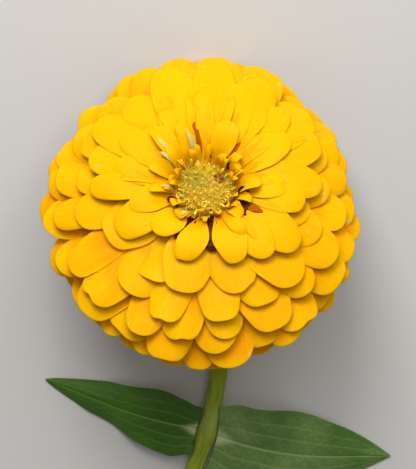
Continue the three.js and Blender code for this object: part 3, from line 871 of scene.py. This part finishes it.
ground = patchyPaint("discGround", 1100, 3, (0.4, 0.7), (0.40, 0.15, 0.008), (0.78, 0.55, 0.03), 0.5,
                     Roughness=0.75)
floretSkin = patchyPaint("discFloret", 700, 2, (0.3, 0.7), (0.92, 0.58, 0.02), (0.90, 0.70, 0.10), 0.08,
                         Roughness=0.5, **sunkLight(0.25, 0.0008, (1, 0.6, 0.1)))
scaleSkin = scalePaint()
turnedPiece("discDome", disc["profile"], disc["steps"], ground, "disc_florets")
makeBuds(budPaint())
makeFringedScales(scaleSkin)
makeStrands(scaleSkin)
makeHollow()
makeFlorets(floretSkin)
print("disc filled")


# Involucre: tiers of overlapping green bracts with dark papery margins

involucre = dict(
    rimRadius=11.4, footRadius=4.2, top=-21.3, depth=13, steps=40, wall=0.3, tiers=4, perTier=10,
    belly=0.8, firstBase=0.4, astray=0.06, length=7.4, width=7.6, taper=0.72, flare=0.75, thickness=0.5,
)


def cupRadius(share):
    share = min(1, max(0, share))
    return mix(involucre["footRadius"], involucre["rimRadius"], sin(share * pi / 2) ** involucre["belly"])


def bractPaint():
    paint = Paint("bractSkin", Roughness=0.6, Specular_IOR_Level=0.3)
    u, v = paint.uv()
    across = abs(u * 2 - 1)
    streaks = paint.noise(1, 3, paint.vector(u * 22, v * 2, paint.trait("tone") * 7))
    colour = paint.colour(streaks.step(0.3, 0.7), (0.10, 0.20, 0.035), (0.22, 0.34, 0.08))
    colour = paint.colour(v.step(0.35, 0), colour, (0.34, 0.42, 0.12))
    margin = (across ** 3 * 0.22 + v).step(0.86, 0.95)
    paint.set("Base Color", paint.colour(margin, colour, (0.035, 0.014, 0.008)))
    paint.bump(streaks, 0.15)
    return paint.material


def makeInvolucre():
    skin = bractPaint()
    depth = involucre["depth"]
    foot = involucre["top"] - depth
    side = [(cupRadius(step / 10) - involucre["wall"], foot + step / 10 * depth) for step in range(11)]
    profile = [(0, foot), *side, (0, foot + depth)]
    turnedPiece("involucreCup", profile, involucre["steps"], skin, "involucre")
    bm = meshWithMap("bractMap")
    tone = bm.verts.layers.float.new("tone")
    for i in range(involucre["tiers"] * involucre["perTier"]):
        tier, number = divmod(i, involucre["perTier"])
        base = tier / (involucre["tiers"] - 1) * (depth - involucre["length"]) + involucre["firstBase"]
        turn = 2 * pi * (number + tier / 2) / involucre["perTier"] + involucre["astray"] * draw(i, 61)
        length = involucre["length"] * vary(0.06, i, 62)

        def bractPoint(a, s):
            height = min(base + length * s * (1 - 0.3 * abs(a) ** 2.6 * s), depth - 0.1)
            out = cupRadius(height / depth) + involucre["flare"] * s + 0.1 - 0.25 * a * a
            belly = involucre["taper"] + (1 - involucre["taper"]) * sin(pi * s)
            angle = turn - a * involucre["width"] / 2 * belly * (1 - 0.2 * s ** 4) / out
            return Vector((out * cos(angle), out * sin(angle), foot + height))
        mappedGrid(bm, 6, 8, bractPoint, [(tone, draw(i, 63))])
    made = finish("bracts", bm, [skin], "involucre", bloomFrame)
    thicken(made, involucre["thickness"])
    smooth(made)


makeInvolucre()
print("involucre closed")


# Stem

# The route starts below the involucre and ends at the cut; paleJoint is where the skin pales and how far.
stem = dict(
    gap=0.3, radius=3.0, flareLength=7, flareRadius=4.2, flareRun=0.1, nodeRadius=3.5, nodeLength=4.4,
    route=[(2.0, -40, 15.2), (5.0, -61, 6.2), (4.6, -84, 3.6), (0.4, -108, 4.1), (-9.2, -138, 3.1)], nodeAt=3,
    sides=24, steps=90, ribs=8, ribDepth=0.022, lowest=0.02, rim=0.55, pithWall=0.5, paleJoint=(0.79, 0.055),
)
hairs = dict(count=700, first=0.06, last=0.98, length=1.1, foot=0.06, tip=0.012, sunk=0.1, lean=0.35,
             clear=0.15)


def stemRoute():
    axis = bloomTurn.to_3x3() @ Vector((0, 0, 1))
    start = involucre["top"] - involucre["depth"] - stem["gap"]
    top = Vector((0, 0, flower["discHeight"])) + axis * start
    return [top, top - axis * stem["flareLength"]] + [Vector(point) for point in stem["route"]]


# A smooth curve through the route's points, by stretch and share of the stretch.
def alongRoute(points, t):
    stretch = min(int(t * (len(points) - 1)), len(points) - 2)
    u = t * (len(points) - 1) - stretch
    a, b = points[stretch], points[stretch + 1]
    before = points[stretch - 1] if stretch else a * 2 - b
    after = points[stretch + 2] if stretch + 2 < len(points) else b * 2 - a
    slope, curve, twist = b - before, 2 * before - 5 * a + 4 * b - after, 3 * a - before - 3 * b + after
    place = 0.5 * (2 * a + slope * u + curve * u * u + twist * u ** 3)
    ahead = 0.5 * (slope + 2 * curve * u + 3 * twist * u * u)
    return place, ahead.normalized()


def stemRadius(place, t, node):
    flare = stem["flareRadius"] - stem["radius"] if t < 2.5 * stem["flareRun"] else 0
    swell = stem["nodeRadius"] - stem["radius"]
    near = (place - node).length / stem["nodeLength"]
    return stem["radius"] + flare * exp(-(t / stem["flareRun"]) ** 2) + swell * exp(-near * near)


def stemFrame(ahead):
    side = ahead.cross(Vector((0, 0, 1))).normalized()
    return side, side.cross(ahead).normalized()


def stemPaints():
    paint = Paint("stemSkin", Roughness=0.5, Specular_IOR_Level=0.2, **sunkLight(0.1, 0.001, (0.6, 1, 0.2)))
    u, v = paint.uv()
    streaks = paint.noise(1, 3, paint.vector(u * 34, v * 12, 0))
    patches = paint.noise(120, 2)
    colour = paint.colour(streaks.step(0.3, 0.7), (0.205, 0.320, 0.016), (0.42, 0.52, 0.032))
    colour = paint.colour(patches.step(0.45, 0.75) * 0.6, colour, (0.30, 0.25, 0.02))
    joint, reach = stem["paleJoint"]
    pale = abs(v - joint).step(reach, 0.01)
    paint.set("Base Color", paint.colour(pale * 0.3, colour, (0.40, 0.50, 0.20)))
    paint.bump(streaks, 0.2)

    pith = patchyPaint("stemPith", 2200, 2, (0.35, 0.65), (0.50, 0.58, 0.26), (0.72, 0.76, 0.48), 0.1,
                       Roughness=0.7)
    down = Paint("stemDown", Roughness=0.5)
    glow = down.noise(500, 1)
    down.set("Base Color", down.colour(glow, (0.55, 0.58, 0.35), (0.80, 0.80, 0.62)))
    return paint.material, pith, down.material


def makeStemBody(points, node, skin, pith):
    bm = meshWithMap("stemMap")

    def stemPoint(a, t):
        place, ahead = alongRoute(points, t)
        side, up = stemFrame(ahead)
        angle = pi * a
        radius = stemRadius(place, t, node) * (1 + stem["ribDepth"] * cos(stem["ribs"] * angle))
        there = place + radius * (side * cos(angle) + up * sin(angle))
        there.z = max(there.z, stem["lowest"])
        return there
    mappedGrid(bm, stem["sides"], stem["steps"], stemPoint)
    bmesh.ops.remove_doubles(bm, verts=bm.verts, dist=1e-4)
    ends = bmesh.ops.holes_fill(bm, edges=[edge for edge in bm.edges if edge.is_boundary], sides=0)["faces"]
    for end in ends:
        end.material_index = 1
        bmesh.ops.inset_region(bm, faces=[end], thickness=stem["rim"], depth=0)
        bmesh.ops.inset_region(bm, faces=[end], thickness=stem["pithWall"], depth=-stem["pithWall"])
    bmesh.ops.recalc_face_normals(bm, faces=bm.faces)
    finish("stemBody", bm, [skin, pith], "stem", plantFrame)


def makeStemHairs(points, node, down):
    bm = bmesh.new()
    for i in range(hairs["count"]):
        t = hairs["first"] + (hairs["last"] - hairs["first"]) * (i + 0.5) / hairs["count"]
        place, ahead = alongRoute(points, t)
        side, up = stemFrame(ahead)
        angle = i * goldenAngle
        out = side * cos(angle) + up * sin(angle)
        foot = place + out * (stemRadius(place, t, node) - hairs["sunk"])
        length = hairs["length"] * vary(0.35, i, 71)
        lean = (out + hairs["lean"] * draw(i, 72) * ahead + hairs["lean"] * draw(i, 73) * side).normalized()
        if foot.z + lean.z * length < hairs["clear"]:
            continue
        hair = bmesh.ops.create_cone(bm, cap_ends=True, segments=3, radius1=hairs["foot"],
                                     radius2=hairs["tip"], depth=length)["verts"]
        turn = lean.to_track_quat("Z", "Y").to_matrix().to_4x4()
        bmesh.ops.transform(bm, matrix=Matrix.Translation(foot + lean * length / 2) @ turn, verts=hair)
    finish("stemHairs", bm, [down], "stem", plantFrame)


def makeStem():
    skin, pith, down = stemPaints()
    points = stemRoute()
    node = points[stem["nodeAt"] + 2]
    makeStemBody(points, node, skin, pith)
    makeStemHairs(points, node, down)


makeStem()
print("stem drawn")


# Leaves

leafShape = dict(
    columns=28, rows=44, thickness=0.42, rise=0.62, baseShare=0.76, baseLength=0.14, tipWidth=0.12,
    crestFrom=0.28, crestRun=0.8, channel=2.2, droop=4.6, waves=17, waveSkew=1.4, softness=0.8,
    scallop=0.035, scallopLength=0.3, quilt=0.2, midGroove=0.35, midWidth=0.035, veinGroove=0.2,
    veinWidth=0.03, veinsAt=(0.36, 0.66), sideVeins=11, sideSlant=3.2,
)
# Each base is measured from the joint; hug is how far the base's two corners move away from the stem, and
# taper is where the leaf starts to narrow and the two powers of its outline.
leaves = [
    dict(name="leafLeft", node="leaf_left", skin="leafTop", length=55.8, width=23, heading=162, bow=-3.6,
         base=(-3.3, 2.0), hug=(0.6, -1.2), taper=(0.2, 1.15, 0.8), crest=5.5, wave=1.3, phase=0.6),
    dict(name="leafRight", node="leaf_right", skin="leafSheen", length=62.5, width=31, heading=-9, bow=10,
         base=(3.6, -0.6), hug=(-2.4, -1.0), taper=(0.32, 2, 1), crest=6, wave=1.5, phase=2.1),
]
# The light, deep and vein colours and the roughness of each skin. leafSheen, the right leaf's skin, is the
# same leaf green painted lighter and greyer: a painted sheen.
leafSkins = dict(
    leafTop=((0.092, 0.230, 0.018), (0.050, 0.140, 0.011), (0.19, 0.34, 0.06), 0.5),
    leafSheen=((0.235, 0.375, 0.115), (0.065, 0.155, 0.020), (0.33, 0.48, 0.16), 0.45),
    leafUnder=((0.16, 0.26, 0.09), (0.11, 0.20, 0.06), (0.30, 0.42, 0.18), 0.6),
)


def leafHalfWidth(leaf, across, along):
    form = leafShape
    start, power, outline = leaf["taper"]
    body = mix(form["baseShare"], 1, ease(along / form["baseLength"]))
    narrowed = (max(0, along - start) / (1 - start)) ** power
    scallop = wave(along / form["scallopLength"] + leaf["phase"] + 0.2 * across) * (1 - along)
    scallop = 1 + form["scallop"] * scallop
    return leaf["width"] / 2 * body * max(0, 1 - narrowed) ** outline * scallop + form["tipWidth"]


# Height of the leaf over the surface, with its quilting and the grooves of its veins.
def leafHeight(leaf, across, along):
    form = leafShape
    edge = abs(across)
    arch = sin(pi * min(1, form["crestFrom"] + along * form["crestRun"])) ** 1.2
    channel = form["channel"] * edge ** 1.3 * (1 - along) ** 0.7
    droop = form["droop"] * edge ** 2.2 * ease((along - 0.1) / 0.4)
    curl = leaf["wave"] * edge ** 2 * sin(along * form["waves"] + leaf["phase"] + across * form["waveSkew"])
    height = (leaf["crest"] * arch + channel - droop + curl) / form["softness"]
    height = form["softness"] * log1p(exp(height))
    cells = abs(wave(0.5 * (along * form["sideVeins"] - edge * form["sideSlant"])))
    quilt = form["quilt"] * cells * (1 - edge ** 4) * ease(edge * 5)
    rib = form["midGroove"] * exp(-(across / form["midWidth"]) ** 2)
    for vein in form["veinsAt"]:
        rib += form["veinGroove"] * exp(-((edge - vein) / form["veinWidth"]) ** 2)
    height += form["rise"] + quilt - rib * (1 - along)
    return max(height, form["thickness"] + 0.03)


def leafPoint(leaf, across, along):
    heading = radians(leaf["heading"])
    ahead = Vector((cos(heading), sin(heading), 0))
    sideways = Vector((-ahead.y, ahead.x, 0))
    hug = leaf["hug"][0 if across < 0 else 1] * abs(across) ** 1.6 * (1 - along) ** 4
    joint = Vector(stem["route"][stem["nodeAt"]]) + Vector((*leaf["base"], 0))
    place = joint + ahead * (along * leaf["length"] + hug)
    place += sideways * (across * leafHalfWidth(leaf, across, along) + leaf["bow"] * (along ** 2 - along))
    place.z = leafHeight(leaf, across, along)
    return place


def leafPaint(name, light, deep, vein, roughness):
    paint = Paint(name, Roughness=0.55, Specular_IOR_Level=0.25, **sunkLight(0.08, 0.0008, (0.4, 1, 0.15)))
    u, v = paint.uv()
    edge = abs(u * 2 - 1)
    wander = paint.noise(60, 2)
    cloud = paint.noise(38, 3)
    colour = paint.colour(cloud.step(0.35, 0.7), deep, light)
    # Each leaf is painted darker towards its tip and lighter near its base: painted shade and sheen.
    colour = paint.colour(v.step(0.35, 0.85) * 0.6, colour, deep)
    inner, outer = (abs(edge - at + wander * 0.03 - 0.015) for at in leafShape["veinsAt"])
    slant = v * leafShape["sideVeins"] - edge * leafShape["sideSlant"] + wander * 0.35
    sides = abs(slant.fraction() - 0.5).step(0.40, 0.49)
    veins = (edge.step(0.05, 0.012) * 0.95).most(inner.step(0.04, 0.008) * 0.42)
    veins = veins.most(outer.step(0.035, 0.008) * 0.3).most(sides * 0.14)
    fine = paint.cells(700).step(0.25, 0.6)
    colour = paint.colour(fine * 0.25, colour, deep)
    colour = paint.colour(veins * (1 - v * 0.55), colour, vein)
    # The base that clasps the stem is pale.
    base = (v * 1.6 + edge * 0.5).step(0.22, 0.06)
    paint.set("Base Color", paint.colour(base * 0.9, colour, (0.56, 0.66, 0.34)))
    paint.set("Roughness", roughness + cloud * 0.15)
    paint.bump(fine * 0.35 - veins * 0.6 + cloud * 0.3, 0.35, 0.8)
    return paint.material


def makeLeaves():
    skins = {name: leafPaint(name, *look) for name, look in leafSkins.items()}
    for leaf in leaves:
        bm = meshWithMap("leafMap")
        mappedGrid(bm, leafShape["columns"], leafShape["rows"], lambda a, s: leafPoint(leaf, -a, s))
        bmesh.ops.reverse_faces(bm, faces=bm.faces)
        made = finish(leaf["name"], bm, [skins[leaf["skin"]], skins["leafUnder"]], leaf["node"],
                      plantFrame)
        thicken(made, leafShape["thickness"], 1)
        smooth(made)


makeLeaves()
print("leaves laid")


# Floor, light and camera

paleFloor = dict(size=3, dark=(0.66, 0.66, 0.65), light=(0.70, 0.70, 0.69))
# Each lamp's place, size, energy and colour.
lights = dict(
    keyLight=((-0.16, 0.80, 0.58), 0.38, 5.4, (1, 0.98, 0.94)),
    softFill=((0.14, 0.78, 0.74), 0.9, 7.0, (1, 0.98, 0.95)),
)
lightAim = Vector((0, 0, 0.04))
studio = dict(colour=(1, 0.98, 0.95, 1), strength=0.2)
view = dict(elevation=70, distance=0.62, pixelsPerMm=3.23, wide=416, high=469, discPixel=(205, 187),
            sensor=36)


def makeFloor():
    paint = Paint("paleFloor", Roughness=0.8)
    cloud = paint.noise(3, 2)
    paint.set("Base Color", paint.colour(cloud, paleFloor["dark"], paleFloor["light"]))
    bm = bmesh.new()
    bmesh.ops.create_grid(bm, x_segments=1, y_segments=1, size=paleFloor["size"])
    finish("floor", bm, [paint.material], None)


def makeLight():
    world = bpy.data.worlds.new("studio")
    world.use_nodes = True
    sky = world.node_tree.nodes["Background"]
    sky.inputs["Color"].default_value = studio["colour"]
    sky.inputs["Strength"].default_value = studio["strength"]
    bpy.context.scene.world = world
    for name, (place, size, energy, colour) in lights.items():
        lamp = bpy.data.lights.new(name, "AREA")
        lamp.size, lamp.energy, lamp.color = size, energy, colour
        made = bpy.data.objects.new(name, lamp)
        made.rotation_mode = "QUATERNION"
        made.location = place
        made.rotation_quaternion = (lightAim - Vector(place)).to_track_quat("-Z", "Y")
        bpy.context.scene.collection.objects.link(made)
    bpy.context.scene.view_settings.view_transform = "Standard"


# The camera is set so that the disc's centre falls on its pixel in the photo.
def makeCamera():
    elevation = radians(view["elevation"])
    right = Vector((1, 0, 0))
    up = Vector((0, sin(elevation), -cos(elevation)))
    back = Vector((0, cos(elevation), sin(elevation)))
    metresPerPixel = mm / view["pixelsPerMm"]
    aside = (view["discPixel"][0] - view["wide"] / 2) * metresPerPixel
    below = (view["discPixel"][1] - view["high"] / 2) * metresPerPixel
    aim = bloomFrame.to_translation() - right * aside + up * below
    camera = bpy.data.cameras.new("camera")
    camera.sensor_width = view["sensor"]
    camera.lens = view["sensor"] * view["distance"] / (view["high"] * metresPerPixel)
    made = bpy.data.objects.new("camera", camera)
    turn = Matrix((right, up, back)).transposed().to_4x4()
    made.matrix_world = Matrix.Translation(aim + back * view["distance"]) @ turn
    bpy.context.scene.collection.objects.link(made)
    bpy.context.scene.camera = made


makeFloor()
makeLight()
makeCamera()
print("studio set")
